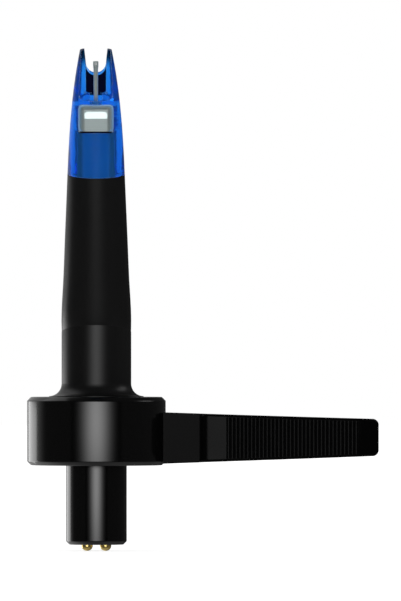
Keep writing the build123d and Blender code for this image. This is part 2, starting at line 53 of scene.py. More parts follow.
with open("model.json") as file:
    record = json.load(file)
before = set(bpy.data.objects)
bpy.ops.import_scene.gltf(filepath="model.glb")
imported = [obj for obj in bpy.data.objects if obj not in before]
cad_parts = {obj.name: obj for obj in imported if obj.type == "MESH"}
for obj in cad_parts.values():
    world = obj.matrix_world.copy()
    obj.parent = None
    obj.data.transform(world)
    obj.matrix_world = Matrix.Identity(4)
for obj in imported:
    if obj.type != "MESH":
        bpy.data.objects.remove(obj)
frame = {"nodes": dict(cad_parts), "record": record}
CAD_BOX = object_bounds()
NODES = frame["nodes"]

MM = 0.001
BELLY_Y = -4.525  # where the nose's belly line leaves the neck
BELLY_Z = 18.205
DROOP = radians(12.0)
CONTACTS = {"contact_1": (1, 1), "contact_2": (-1, 1), "contact_3": (-1, -1), "contact_4": (1, -1)}
SMOOTH_ANGLE = radians(34.0)
BORE_GAP = 0.02  # between the barrel and the collar's bore, in millimetres
# Colour of the worn edges, their width in millimetres and how much they are worn; on the clear blue the pale
# edges are a painted highlight
WORN_AND_HIGHLIGHTED = {
    "satin_black": ((0.05, 0.05, 0.052), 0.12, 0.25),
    "matte_black": ((0.06, 0.06, 0.062), 0.15, 0.3),
    "lift_black": ((0.05, 0.05, 0.052), 0.15, 0.25),
    # Clear blue: pale edges as a painted highlight along the housing's ridges.
    "clear_blue": ((0.6, 0.82, 1.0), 0.22, 1.9),
    "silver": ((0.9, 0.92, 0.92), 0.1, 0.5),
    "gold": ((0.8, 0.75, 0.6), 0.1, 0.3),
    "steel": ((0.75, 0.75, 0.76), 0.1, 0.4),
    "grey_moulding": ((0.9, 0.9, 0.9), 0.1, 0.3),
}
# Place, aim, width and height of each softbox, in metres
SOFTBOXES = {
    "top": ((-0.4, 0.15, 0.45), (0, 0, 0.02), 0.4, 0.4),
    "side": ((0.52, 0.1, 0.32), (0, 0, 0.02), 0.3, 0.3),
    "rear": ((-0.088, 0.082, -0.024), (0, 0, -0.024), 0.078, 0.072),
}


def nose_point(x, h, s):
    """A point of the nose in millimetres: x across, h above the belly line, s along it from the crease."""
    return np.stack(
        np.broadcast_arrays(
            x,
            BELLY_Y - s * sin(DROOP) + h * cos(DROOP),
            BELLY_Z + s * cos(DROOP) + h * sin(DROOP),
        ),
        axis=-1,
    )


def grid_quads(rows, columns, close_rows):
    """Four corners of each cell of a grid whose columns always close on themselves."""
    row, column = np.meshgrid(
        np.arange(rows if close_rows else rows - 1), np.arange(columns), indexing="ij"
    )
    next_row = (row + 1) % rows
    next_column = (column + 1) % columns
    corners = (
        row * columns + column,
        row * columns + next_column,
        next_row * columns + next_column,
        next_row * columns + column,
    )
    return np.stack(corners, axis=-1).reshape(-1, 4)


def put_piece(name, grid, body, material, close_rows=False):
    """Make one closed piece from a grid of points in millimetres and let it ride its body."""
    rows, columns = grid.shape[:2]
    mesh = bpy.data.meshes.new(name)
    points = grid.reshape(-1, 3) * MM
    mesh.from_pydata(points.tolist(), [], grid_quads(rows, columns, close_rows).tolist())
    shape = bmesh.new()
    shape.from_mesh(mesh)
    bmesh.ops.remove_doubles(shape, verts=shape.verts, dist=1e-7)
    bmesh.ops.recalc_face_normals(shape, faces=shape.faces)
    shape.to_mesh(mesh)
    shape.free()
    mesh.shade_smooth()
    mesh.set_sharp_from_angle(angle=SMOOTH_ANGLE)
    mesh.materials.append(material)
    piece = bpy.data.objects.new(name, mesh)
    bpy.context.scene.collection.objects.link(piece)
    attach(piece, body)
    return piece


def softened(corners, radius, steps=5):
    """A closed outline whose corners become quadratic curves that start a radius before each corner.

    A point of a curve is (1-t)^2 of its start, 2t(1-t) of the corner and t^2 of its end.
    """
    corner = np.asarray(corners, float)
    before = np.roll(corner, 1, axis=0) - corner
    after = np.roll(corner, -1, axis=0) - corner
    length_before = np.linalg.norm(before, axis=1, keepdims=True)
    length_after = np.linalg.norm(after, axis=1, keepdims=True)
    reach = np.minimum(radius, 0.45 * np.minimum(length_before, length_after))
    start = corner + before / length_before * reach
    end = corner + after / length_after * reach
    t = np.linspace(0, 1, steps)[None, :, None]
    curve = (1 - t) ** 2 * start[:, None] + 2 * t * (1 - t) * corner[:, None] + t**2 * end[:, None]
    return curve.reshape(-1, 2)


def squared(wave, power):
    """A cosine or sine drawn out towards a square: its sign times its size to a power below 1."""
    return np.sign(wave) * np.abs(wave) ** power


def turned(outline, segments, centre=(0.0, 0.0)):
    """A turned form: each outline point (r, z) goes round the axis as (r cos a, r sin a, z)."""
    angle = np.linspace(0, 2 * pi, segments, endpoint=False)
    radius = outline[:, 0][:, None]
    level = np.broadcast_to(outline[:, 1][:, None], (len(outline), segments))
    across = centre[0] + radius * np.cos(angle)
    upward = centre[1] + radius * np.sin(angle)
    return np.stack([across, upward, level], axis=-1)


# Shader groups


def new_group(name, inputs, outputs):
    """An empty shader group with the given sockets, and its input and output nodes."""
    group = bpy.data.node_groups.new(name, "ShaderNodeTree")
    for label, kind, default in inputs:
        socket = group.interface.new_socket(name=label, in_out="INPUT", socket_type=kind)
        socket.default_value = default
    for label, kind in outputs:
        group.interface.new_socket(name=label, in_out="OUTPUT", socket_type=kind)
    return group, group.nodes.new("NodeGroupInput"), group.nodes.new("NodeGroupOutput")


def node(tree, kind, **settings):
    """A new node with its settings; a setting that names an input gives that socket's value."""
    made = tree.nodes.new(kind)
    for key, value in settings.items():
        if hasattr(made, key):
            setattr(made, key, value)
        else:
            made.inputs[key.replace("_", " ")].default_value = value
    return made


def math(tree, operation, first, second):
    """A Math node; each operand is a number or a socket."""
    made = tree.nodes.new("ShaderNodeMath")
    made.operation = operation
    for socket, operand in zip(made.inputs, (first, second)):
        if isinstance(operand, (int, float)):
            socket.default_value = operand
        else:
            tree.links.new(operand, socket)
    return made.outputs[0]


def ramp(tree, value, low, high, start, end):
    """A smooth change from start to end while the value goes from low to high."""
    made = node(tree, "ShaderNodeMapRange", interpolation_type="SMOOTHSTEP")
    tree.links.new(value, made.inputs["Value"])
    for label, number in (("From Min", low), ("From Max", high), ("To Min", start), ("To Max", end)):
        made.inputs[label].default_value = number
    return made.outputs[0]


def shaded(tree, colour, factor):
    """The colour times a factor that changes over the surface."""
    made = tree.nodes.new("ShaderNodeVectorMath")
    made.operation = "SCALE"
    tree.links.new(colour, made.inputs[0])
    tree.links.new(factor, made.inputs["Scale"])
    return made.outputs[0]


def moulded_grain():
    """Moulded plastic: fine grain, and slow changes of tone and gloss."""
    group, given, out = new_group(
        "Moulded grain",
        [
            ("Color", "NodeSocketColor", (0.5, 0.5, 0.5, 1)),
            ("Roughness", "NodeSocketFloat", 0.5),
            ("Grain Scale", "NodeSocketFloat", 9000.0),
            ("Unevenness", "NodeSocketFloat", 0.15),
        ],
        [("Color", "NodeSocketColor"), ("Roughness", "NodeSocketFloat"), ("Height", "NodeSocketFloat")],
    )
    place = node(group, "ShaderNodeTexCoord")
    fine = node(group, "ShaderNodeTexNoise", Detail=2.0)
    slow = node(group, "ShaderNodeTexNoise", Scale=160.0, Detail=3.0)
    group.links.new(place.outputs["Object"], fine.inputs["Vector"])
    group.links.new(place.outputs["Object"], slow.inputs["Vector"])
    group.links.new(given.outputs["Grain Scale"], fine.inputs["Scale"])
    drift = math(group, "SUBTRACT", slow.outputs[0], 0.5)
    change = math(group, "ADD", math(group, "MULTIPLY", drift, given.outputs["Unevenness"]), 1.0)
    group.links.new(shaded(group, given.outputs["Color"], change), out.inputs["Color"])
    group.links.new(math(group, "MULTIPLY", given.outputs["Roughness"], change), out.inputs["Roughness"])
    group.links.new(fine.outputs[0], out.inputs["Height"])
    return group


def streaked(name, stretch):
    """A surface with fine streaks: noise that is stretched, with a little change from streak to streak."""
    group, given, out = new_group(
        name,
        [
            ("Color", "NodeSocketColor", (0.5, 0.5, 0.5, 1)),
            ("Roughness", "NodeSocketFloat", 0.3),
            ("Lines", "NodeSocketFloat", 14000.0),
            ("Unevenness", "NodeSocketFloat", 0.2),
        ],
        [("Color", "NodeSocketColor"), ("Roughness", "NodeSocketFloat"), ("Height", "NodeSocketFloat")],
    )
    place = node(group, "ShaderNodeTexCoord")
    flat = node(group, "ShaderNodeMapping")
    flat.inputs["Scale"].default_value = stretch
    rings = node(group, "ShaderNodeTexNoise", Detail=3.0)
    group.links.new(place.outputs["Object"], flat.inputs["Vector"])
    group.links.new(flat.outputs[0], rings.inputs["Vector"])
    group.links.new(given.outputs["Lines"], rings.inputs["Scale"])
    drift = math(group, "SUBTRACT", rings.outputs[0], 0.5)
    change = math(group, "ADD", math(group, "MULTIPLY", drift, given.outputs["Unevenness"]), 1.0)
    group.links.new(shaded(group, given.outputs["Color"], change), out.inputs["Color"])
    group.links.new(math(group, "MULTIPLY", given.outputs["Roughness"], change), out.inputs["Roughness"])
    group.links.new(rings.outputs[0], out.inputs["Height"])
    return group


def edge_wear_and_highlight():
    """Handled edges, and painted edge highlights: paler and duller where a rounded copy's normal turns away
    from the surface's own.
    """
    group, given, out = new_group(
        "Edge wear and highlight",
        [
            ("Color", "NodeSocketColor", (0.5, 0.5, 0.5, 1)),
            ("Roughness", "NodeSocketFloat", 0.5),
            ("Worn Color", "NodeSocketColor", (0.6, 0.6, 0.6, 1)),
            ("Radius", "NodeSocketFloat", 0.00015),
            ("Wear", "NodeSocketFloat", 0.3),
        ],
        [("Color", "NodeSocketColor"), ("Roughness", "NodeSocketFloat")],
    )
    rounded = node(group, "ShaderNodeBevel", samples=6)
    own = node(group, "ShaderNodeNewGeometry")
    turn = node(group, "ShaderNodeVectorMath", operation="DOT_PRODUCT")
    place = node(group, "ShaderNodeTexCoord")
    patches = node(group, "ShaderNodeTexNoise", Scale=900.0, Detail=4.0)
    group.links.new(given.outputs["Radius"], rounded.inputs["Radius"])
    group.links.new(rounded.outputs[0], turn.inputs[0])
    group.links.new(own.outputs["Normal"], turn.inputs[1])
    group.links.new(place.outputs["Object"], patches.inputs["Vector"])
    edge = ramp(group, turn.outputs["Value"], low=0.88, high=0.995, start=1.0, end=0.0)
    patched = math(group, "MULTIPLY", edge, patches.outputs[0])
    worn = math(group, "MULTIPLY", patched, given.outputs["Wear"])
    mix = node(group, "ShaderNodeMix", data_type="RGBA")
    factor, unworn, pale, result = mix.inputs[0], mix.inputs[6], mix.inputs[7], mix.outputs[2]
    group.links.new(worn, factor)
    group.links.new(given.outputs["Color"], unworn)
    group.links.new(given.outputs["Worn Color"], pale)
    group.links.new(result, out.inputs["Color"])
    dulling = 0.2
    duller = math(group, "ADD", given.outputs["Roughness"], math(group, "MULTIPLY", worn, dulling))
    group.links.new(duller, out.inputs["Roughness"])
    return group


def finish_material(name, group, colour, roughness, depth, group_values, **constants):
    """A Principled material whose colour, roughness and bump come from one of the groups."""
    material = bpy.data.materials.new(name)
    material.use_nodes = True
    tree = material.node_tree
    shader = tree.nodes["Principled BSDF"]
    for key, value in constants.items():
        shader.inputs[key.replace("_", " ")].default_value = value
    effect = tree.nodes.new("ShaderNodeGroup")
    effect.node_tree = group
    effect.inputs["Color"].default_value = (*colour, 1)
    effect.inputs["Roughness"].default_value = roughness
    for key, value in group_values.items():
        effect.inputs[key].default_value = value
    tree.links.new(effect.outputs["Color"], shader.inputs["Base Color"])
    tree.links.new(effect.outputs["Roughness"], shader.inputs["Roughness"])
    bump = node(tree, "ShaderNodeBump", Strength=1.0, Distance=depth)
    tree.links.new(effect.outputs["Height"], bump.inputs["Height"])
    tree.links.new(bump.outputs[0], shader.inputs["Normal"])
    return material


def wear_and_highlight_edges(material, group, worn_colour, radius, wear):
    """Let the material's colour and roughness pass through the group of edge wear and painted edge highlight.
    """
    tree = material.node_tree
    shader = tree.nodes["Principled BSDF"]
    effect = tree.nodes.new("ShaderNodeGroup")
    effect.node_tree = group
    effect.inputs["Worn Color"].default_value = (*worn_colour, 1)
    effect.inputs["Radius"].default_value = radius * MM
    effect.inputs["Wear"].default_value = wear
    for label, target in (("Color", "Base Color"), ("Roughness", "Roughness")):
        tree.links.new(shader.inputs[target].links[0].from_socket, effect.inputs[label])
        tree.links.new(effect.outputs[label], shader.inputs[target])


def shade_along(material, axis, low, high, share, both_ways=False):
    """Painted shade: let the base colour fall to a share of itself between two places along an axis, in
    millimetres.
    """
    tree = material.node_tree
    base = tree.nodes["Principled BSDF"].inputs["Base Color"]
    place = node(tree, "ShaderNodeTexCoord")
    split = node(tree, "ShaderNodeSeparateXYZ")
    tree.links.new(place.outputs["Object"], split.inputs[0])
    way = math(tree, "ABSOLUTE", split.outputs[axis], 0) if both_ways else split.outputs[axis]
    factor = ramp(tree, way, low * MM, high * MM, start=1.0, end=share)
    tree.links.new(shaded(tree, base.links[0].from_socket, factor), base)


# Settings


class CollarSettings(bpy.types.PropertyGroup):
    """Sizes of the turned collar and plug, in millimetres."""

    collar_d: FloatProperty(
        name="Collar diameter", description="Diameter of the collar", default=18.0, min=1.0
    )
    collar_l: FloatProperty(name="Collar length", description="Length of the collar", default=8.88, min=1.0)
    collar_edge: FloatProperty(
        name="Collar edge", description="Chamfer of the collar's rims", default=0.5, min=0.0
    )
    plug_d: FloatProperty(
        name="Plug diameter", description="Diameter of the plug's barrel", default=7.9, min=1.0
    )
    plug_l: FloatProperty(
        name="Plug length", description="Length of the barrel behind the collar", default=10.3
    )
    plug_seat: FloatProperty(
        name="Plug seat", description="Length of the barrel in the collar", default=4.4
    )
    plug_wall: FloatProperty(name="Plug wall", description="Wall of the barrel", default=0.95)
    plug_edge: FloatProperty(name="Plug edge", description="Chamfer of the barrel's end", default=0.45)
    edge_r: FloatProperty(name="Edge radius", description="Softening of every turned edge", default=0.09)
    segments: IntProperty(name="Segments", description="Steps round a turned piece", default=256, min=16)


class ContactSettings(bpy.types.PropertyGroup):
    """Sizes of the domed contacts, in millimetres."""

    pitch: FloatProperty(name="Pitch", description="Side of the square the contacts stand on", default=2.4)
    head_d: FloatProperty(name="Head diameter", description="Diameter of a contact's head", default=1.45)
    tail_d: FloatProperty(
        name="Tail diameter", description="Diameter of a contact's solder tail", default=0.8
    )
    barrel_end: FloatProperty(name="Barrel end", description="Level of the barrel's end", default=-10.3)
    stick_out: FloatProperty(
        name="Stick out", description="How far a contact stands out of the barrel", default=0.8
    )
    head_l: FloatProperty(
        name="Head length", description="Length of the head inside the barrel", default=2.2
    )
    tail_l: FloatProperty(name="Tail length", description="Length of the solder tail", default=4.0)
    dome: FloatProperty(name="Dome", description="Height of the domed end", default=0.62)


class BlockSettings(bpy.types.PropertyGroup):
    """Sizes of the pad, the gap and the rim on the stylus block, in millimetres."""

    rear_s: FloatProperty(name="Pad rear", description="Where the pad starts along the nose", default=25.55)
    length: FloatProperty(name="Pad length", description="Length of the pad", default=2.62)
    width: FloatProperty(name="Pad width", description="Width of the pad", default=3.1)
    face_h: FloatProperty(
        name="Face height", description="The block's face above the belly line", default=0.3
    )
    rise: FloatProperty(
        name="Pad rise", description="How far the pad stands out of the block", default=0.28
    )
    facet: FloatProperty(name="Facet", description="Length of the pad's sloping front", default=0.87)
    front_r: FloatProperty(
        name="Front corners", description="Radius of the pad's front corners", default=0.4
    )
    rear_r: FloatProperty(name="Rear corners", description="Radius of the pad's rear corners", default=0.12)
    gap_l: FloatProperty(name="Gap length", description="Length of the gap behind the pad", default=0.2)
    gap_w: FloatProperty(name="Gap width", description="Width of the gap behind the pad", default=4.1)
    gap_h: FloatProperty(name="Gap height", description="The gap's face above the belly line", default=0.08)
    rim_s: FloatProperty(name="Rim middle", description="Middle of the rim along the nose", default=27.2)
    rim_l: FloatProperty(name="Rim length", description="Length of the rim's loop", default=3.55)
    rim_w: FloatProperty(name="Rim width", description="Width of the rim's loop", default=4.34)
    rim_h: FloatProperty(
        name="Rim height", description="Height of the rim above the belly line", default=0.42
    )
    rim_r: FloatProperty(name="Rim radius", description="Radius of the rim's bead", default=0.12)


class HousingSettings(bpy.types.PropertyGroup):
    """How the clear housing's edges are softened."""

    edge_r: FloatProperty(
        name="Edge softness", description="Width of the softened edges in millimetres", default=0.07
    )
    edge_angle: FloatProperty(
        name="Edge angle", description="Sharper edges than this are softened, in degrees", default=32.0
    )


class SlotSettings(bpy.types.PropertyGroup):
    """Sizes of the dark sheet of painted shade under the slot's roof, in millimetres."""

    half_w: FloatProperty(name="Half width", description="Half the lining's width", default=1.3)
    rear_z: FloatProperty(name="Rear level", description="Level of the lining's rear edge", default=47.95)
    corner_r: FloatProperty(name="Corner radius", description="Radius of the rear corners", default=0.5)
    notch_r: FloatProperty(
        name="Notch radius", description="Radius of the notch between the prongs", default=1.3
    )
    notch_z: FloatProperty(name="Notch level", description="Level of the notch's centre", default=52.2)
    inset: FloatProperty(name="Inset", description="From the notch to the lining", default=0.4)
    roof_h: FloatProperty(
        name="Roof height", description="The lining's face above the belly line", default=2.24
    )
    thickness: FloatProperty(name="Thickness", description="Thickness of the lining", default=0.05)


class FinishSettings(bpy.types.PropertyGroup):
    """Colours of the finishes, with the slot's navy as painted shade and the rim's pale blue as a painted
    highlight.
    """

    satin_black: FloatVectorProperty(
        name="Satin black", description="Collar and plug", subtype="COLOR", default=(0.002, 0.002, 0.0021)
    )
    matte_black: FloatVectorProperty(
        name="Matte black", description="Nose and neck", subtype="COLOR", default=(0.009, 0.009, 0.0092)
    )
    lift_black: FloatVectorProperty(
        name="Lift black", description="Finger lift", subtype="COLOR", default=(0.0018, 0.0018, 0.0019)
    )
    clear_blue: FloatVectorProperty(
        name="Clear blue", description="Stylus housing", subtype="COLOR", default=(0.05, 0.41, 1.0)
    )
    # Pale blue of the bead: a painted highlight of the lit window edge.
    rim_blue_highlight: FloatVectorProperty(
        name="Rim blue", description="Bead round the stylus block", subtype="COLOR", default=(0.33, 0.62, 1.0)
    )
    # Navy of the sheet under the slot's roof: painted shade.
    painted_slot_shade: FloatVectorProperty(
        name="Slot navy", description="Lining of the slot", subtype="COLOR", default=(0.0005, 0.003, 0.03)
    )
    silver: FloatVectorProperty(
        name="Silver", description="Stylus block and cantilever", subtype="COLOR", default=(0.63, 0.74, 0.735)
    )
    gold: FloatVectorProperty(
        name="Gold", description="Contacts", subtype="COLOR", default=(0.95, 0.72, 0.24)
    )


class StageSettings(bpy.types.PropertyGroup):
    """The camera and the studio."""

    camera_x: FloatProperty(
        name="Camera X", description="Middle of the view across", default=0.01352, unit="LENGTH"
    )
    camera_z: FloatProperty(
        name="Camera Z", description="Middle of the view upwards", default=0.0214, unit="LENGTH"
    )
    camera_y: FloatProperty(name="Camera Y", description="Distance in front", default=-2.0, unit="LENGTH")
    lens: FloatProperty(name="Lens", description="Focal length in millimetres", default=922.5)
    floor_half: FloatProperty(name="Floor", description="Half the floor's side", default=2.0, unit="LENGTH")
    front_level: FloatProperty(
        name="Front level", description="Brightness in the middle of the front panel", default=4.2
    )
    front_spread: FloatProperty(
        name="Front spread", description="Spread of the front panel's glow", default=0.127, unit="LENGTH"
    )
    rear_power: FloatProperty(
        name="Rear softbox", description="Power of the left rear softbox", default=0.033, unit="POWER"
    )
    top_power: FloatProperty(
        name="Top softbox", description="Power of the top softbox", default=0.24, unit="POWER"
    )
    side_power: FloatProperty(
        name="Side softbox", description="Power of the right softbox", default=0.35, unit="POWER"
    )
    ambient: FloatProperty(name="Ambient", description="Even light on dull surfaces", default=0.35)


# Operators


class CARTRIDGE_OT_finishes(bpy.types.Operator):
    """Make the finishes and give each carried-over piece its own"""

    bl_idname = "cartridge.finishes"
    bl_label = "Finishes"

    def execute(self, context):
        colours = context.scene.cartridge_finish
        for plain in list(bpy.data.materials):
            bpy.data.materials.remove(plain)
        grain = moulded_grain()
        lines = streaked("Turned lines", (0.004, 0.004, 1.0))
        flow = streaked("Flow lines", (1.0, 1.0, 0.08))
        moulded = {"Grain Scale": 9000.0, "Unevenness": 0.2}
        turned_lines = {"Lines": 14000.0, "Unevenness": 0.1}
        flow_lines = {"Lines": 1100.0, "Unevenness": 0.3}
        brushed_lines = {"Lines": 22000.0, "Unevenness": 0.15}
        finish_material("satin_black", lines, colours.satin_black, 0.15, 4e-8, turned_lines, IOR=1.6)
        # Colour, roughness and gloss of the two moulded blacks
        blacks = {
            "matte_black": (colours.matte_black, 0.33, 0.32),
            "lift_black": (colours.lift_black, 0.3, 0.07),
        }
        for name, (colour, roughness, gloss) in blacks.items():
            finish_material(name, grain, colour, roughness, 4e-6, moulded, Specular_IOR_Level=gloss)
        self.clear_housing(flow, colours.clear_blue, flow_lines)
        finish_material("rim_blue_highlight", grain, colours.rim_blue_highlight, 0.15, 3e-7, {"Grain Scale": 500.0}, IOR=1.9)
        finish_material("silver", lines, colours.silver, 0.3, 2e-7, brushed_lines, Metallic=0.58)
        finish_material("gold", grain, colours.gold, 0.2, 3e-7, {"Grain Scale": 6000.0}, Metallic=0.75)
        # The slot's navy is painted shade under the slot's roof.
        dulls = {"insulator": (0.004, 0.004, 0.0045), "painted_slot_shade": colours.painted_slot_shade}
        for name, colour in dulls.items():
            finish_material(name, grain, colour, 0.5, 3e-6, moulded, Specular_IOR_Level=0.04)
        grey = finish_material("grey_moulding", grain, (0.58, 0.6, 0.64), 0.4, 2e-6, moulded)
        # Painted shade: the grey darkens towards the tongue's sides, where its rounded edges fall into shade.
        shade_along(grey, "X", low=1.4, high=1.9, share=0.04, both_ways=True)
        finish_material("steel", lines, (0.55, 0.55, 0.57), 0.3, 2e-7, {"Lines": 22000.0}, Metallic=1.0)
        finish_material("copper", lines, (0.66, 0.3, 0.14), 0.35, 2e-5, {"Lines": 9000.0}, Metallic=1.0)
        finish_material("lead_sheath", grain, (0.5, 0.06, 0.05), 0.4, 1e-6, moulded)
        finish_material("damper_rubber", grain, (0.02, 0.02, 0.02), 0.7, 3e-6, moulded)
        gem = {"Transmission_Weight": 0.3, "IOR": 2.4}
        finish_material("diamond", grain, (0.95, 0.96, 1.0), 0.05, 1e-8, moulded, **gem)
        wear = edge_wear_and_highlight()
        # On the clear blue the pale edges are a painted highlight; on the other finishes they are wear.
        for name, (worn_colour, radius, amount) in WORN_AND_HIGHLIGHTED.items():
            wear_and_highlight_edges(bpy.data.materials[name], wear, worn_colour, radius, amount)
        for row in frame["record"]["subparts"]:
            piece = NODES[row["node"]]
            piece.data.materials.clear()
            piece.data.materials.append(bpy.data.materials[row["material_slot"]])
        return {"FINISHED"}

    def clear_housing(self, flow, colour, flow_lines):
        """Clear blue plastic that darkens with depth, with painted shade towards the beak's tips."""
        glass = {"Transmission_Weight": 0.82, "IOR": 1.49}
        blue = finish_material("clear_blue", flow, colour, 0.03, 3e-5, flow_lines, **glass)
        # Painted shade: the blue's colour falls to navy towards the prongs' tips.
        shade_along(blue, "Z", low=51.4, high=53.0, share=0.08)
        tree = blue.node_tree
        depth = node(tree, "ShaderNodeVolumeAbsorption", Density=650.0)
        depth.inputs["Color"].default_value = (0.02, 0.62, 0.98, 1)
        tree.links.new(depth.outputs[0], tree.nodes["Material Output"].inputs["Volume"])


class CARTRIDGE_OT_collar(bpy.types.Operator):
    """Turn the collar with softened rims"""

    bl_idname = "cartridge.collar"
    bl_label = "Collar"

    def execute(self, context):
        size = context.scene.cartridge_collar
        outer = size.collar_d / 2
        bore = size.plug_d / 2 + BORE_GAP
        edge = size.collar_edge
        corners = [
            (bore, 0),
            (outer - edge, 0),
            (outer, edge),
            (outer, size.collar_l - edge),
            (outer - edge, size.collar_l),
            (bore, size.collar_l),
        ]
        grid = turned(softened(corners, size.edge_r), size.segments)
        satin = bpy.data.materials["satin_black"]
        piece = put_piece("collar_turned", grid, "body", satin, True)
        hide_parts("rear_collar")
        return {"FINISHED"}


class CARTRIDGE_OT_plug(bpy.types.Operator):
    """Turn the plug's barrel with softened rims"""

    bl_idname = "cartridge.plug"
    bl_label = "Plug barrel"

    def execute(self, context):
        size = context.scene.cartridge_collar
        outer = size.plug_d / 2
        inner = outer - size.plug_wall
        edge = size.plug_edge
        corners = [
            (inner, -size.plug_l),
            (outer - edge, -size.plug_l),
            (outer, edge - size.plug_l),
            (outer, size.plug_seat),
            (inner, size.plug_seat),
        ]
        grid = turned(softened(corners, size.edge_r), size.segments)
        satin = bpy.data.materials["satin_black"]
        piece = put_piece("plug_turned", grid, "body", satin, True)
        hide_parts("plug_barrel")
        return {"FINISHED"}


class CARTRIDGE_OT_contacts(bpy.types.Operator):
    """Turn the four domed contacts"""

    bl_idname = "cartridge.contacts"
    bl_label = "Contacts"

    def execute(self, context):
        size = context.scene.cartridge_contact
        head = size.head_d / 2
        tail = size.tail_d / 2
        low = size.barrel_end - size.stick_out
        step = size.barrel_end + size.head_l
        chamfer = 0.06
        dome_steps = 18
        round_steps = 48
        # The dome is an ellipse: r is head times sin a and its level rises by dome times 1 - cos a.
        a = np.linspace(0, pi / 2, dome_steps)
        dome = np.stack([head * np.sin(a), low + size.dome * (1 - np.cos(a))], axis=-1)
        shank = np.array([
            (head, step - chamfer),
            (head - chamfer, step),
            (tail, step),
            (tail, step + size.tail_l),
            (0, step + size.tail_l),
        ])
        outline = np.concatenate([dome, shank])
        for name, (side, level) in CONTACTS.items():
            centre = (side * size.pitch / 2, level * size.pitch / 2)
            grid = turned(outline, round_steps, centre)
            piece = put_piece(f"{name}_turned", grid, "body", bpy.data.materials["gold"])
            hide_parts(name)
        return {"FINISHED"}


class CARTRIDGE_OT_block_pad(bpy.types.Operator):
    """Add the pad with its sloping front, the bead with its pale painted highlight, and a dark bar of painted
    shadow in the gap of the stylus block
    """

    bl_idname = "cartridge.block_pad"
    bl_label = "Block pad"

    def execute(self, context):
        size = context.scene.cartridge_block
        self.pad(size)
        self.bead(size)
        self.gap(size)
        return {"FINISHED"}

    def pad(self, size):
        """The width falls by a circle's arc at both ends, and the face by the droop over its front."""
        corner_power = 0.2
        sunk = 0.1
        front = size.rear_s + size.length
        s = np.concatenate([np.linspace(0, 0.1, 8), np.linspace(0.12, 0.84, 40), np.linspace(0.86, 1, 16)])
        s = size.rear_s + s * size.length
        rear_in = np.clip(1 - (s - size.rear_s) / size.rear_r, 0, 1)
        front_in = np.clip(1 - (front - s) / size.front_r, 0, 1)
        half = size.width / 2 - size.rear_r * (1 - np.sqrt(1 - rear_in**2))
        half = half - size.front_r * (1 - np.sqrt(1 - front_in**2))
        face = size.face_h - size.rise + np.tan(DROOP) * np.clip(s - (front - size.facet), 0, None)
        foot = size.face_h + sunk
        angle = np.linspace(0, 2 * pi, 72, endpoint=False)[None, :]
        share = np.ones(len(s))
        share[[0, -1]] = 0
        s[0], s[-1] = s[1], s[-2]
        x = squared(np.cos(angle), corner_power) * (half * share)[:, None]
        middle = ((face + foot) / 2)[:, None]
        h = middle + squared(np.sin(angle), corner_power) * ((foot - face) / 2 * share)[:, None]
        silver = bpy.data.materials["silver"]
        put_piece("block_pad", nose_point(x, h, s[:, None]), "stylus_unit", silver)

    def bead(self, size):
        """A round section carried along a rounded rectangle, |x|^p + |s|^p = 1."""
        corner_power = 0.28
        turn = np.linspace(0, 2 * pi, 20, endpoint=False)[:, None]
        path = np.linspace(0, 2 * pi, 160, endpoint=False)[None, :]
        out = size.rim_r * np.cos(turn)
        x = squared(np.cos(path), corner_power) * (size.rim_w / 2 + out)
        s = size.rim_s + squared(np.sin(path), corner_power) * (size.rim_l / 2 + out)
        h = size.rim_h + size.rim_r * np.sin(turn) + 0 * path
        # The bead is a real shape; its pale blue is a painted highlight of the lit window edge.
        pale = bpy.data.materials["rim_blue_highlight"]
        put_piece("block_rim", nose_point(x, h, s), "stylus_unit", pale, True)

    def gap(self, size):
        """A flat dark bar of painted shadow in the gap behind the pad, whose section is a rounded rectangle,
        closed at both ends.
        """
        corner_power = 0.3
        bar = np.linspace(0, 2 * pi, 48, endpoint=False)[None, :]
        full = np.array([0, 1, 1, 0])[:, None]
        x = size.gap_w / 2 * np.array([-1, -1, 1, 1])[:, None] + 0 * bar
        s = size.rear_s - size.gap_l / 2 + full * squared(np.cos(bar), corner_power) * size.gap_l / 2
        depth = size.face_h - size.gap_h
        h = (size.gap_h + size.face_h) / 2 + full * squared(np.sin(bar), corner_power) * depth / 2
        # The dark bar is painted shadow in the gap behind the pad.
        dark = bpy.data.materials["insulator"]
        put_piece("painted_gap_shadow", nose_point(x, h, s), "stylus_unit", dark)


class CARTRIDGE_OT_housing(bpy.types.Operator):
    """Soften the sharp edges of the clear housing so that they catch the light"""

    bl_idname = "cartridge.housing"
    bl_label = "Clear housing"

    def execute(self, context):
        size = context.scene.cartridge_housing
        solid = NODES["stylus_housing"]
        mesh = solid.data.copy()
        mesh.name = "housing_clear"
        shape = bmesh.new()
        shape.from_mesh(mesh)
        bmesh.ops.remove_doubles(shape, verts=shape.verts, dist=1e-6)
        bmesh.ops.dissolve_degenerate(shape, edges=shape.edges, dist=2e-6)
        shape.to_mesh(mesh)
        shape.free()
        mesh.shade_smooth()
        mesh.set_sharp_from_angle(angle=SMOOTH_ANGLE)
        piece = bpy.data.objects.new("housing_clear", mesh)
        context.scene.collection.objects.link(piece)
        soft = piece.modifiers.new("soft_edges", "BEVEL")
        soft.width = size.edge_r * MM
        soft.segments = 3
        soft.limit_method = "ANGLE"
        soft.angle_limit = radians(size.edge_angle)
        soft.use_clamp_overlap = False
        soft.harden_normals = True
        piece.visible_shadow = False
        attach(piece, "stylus_unit")
        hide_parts("stylus_housing")
        return {"FINISHED"}


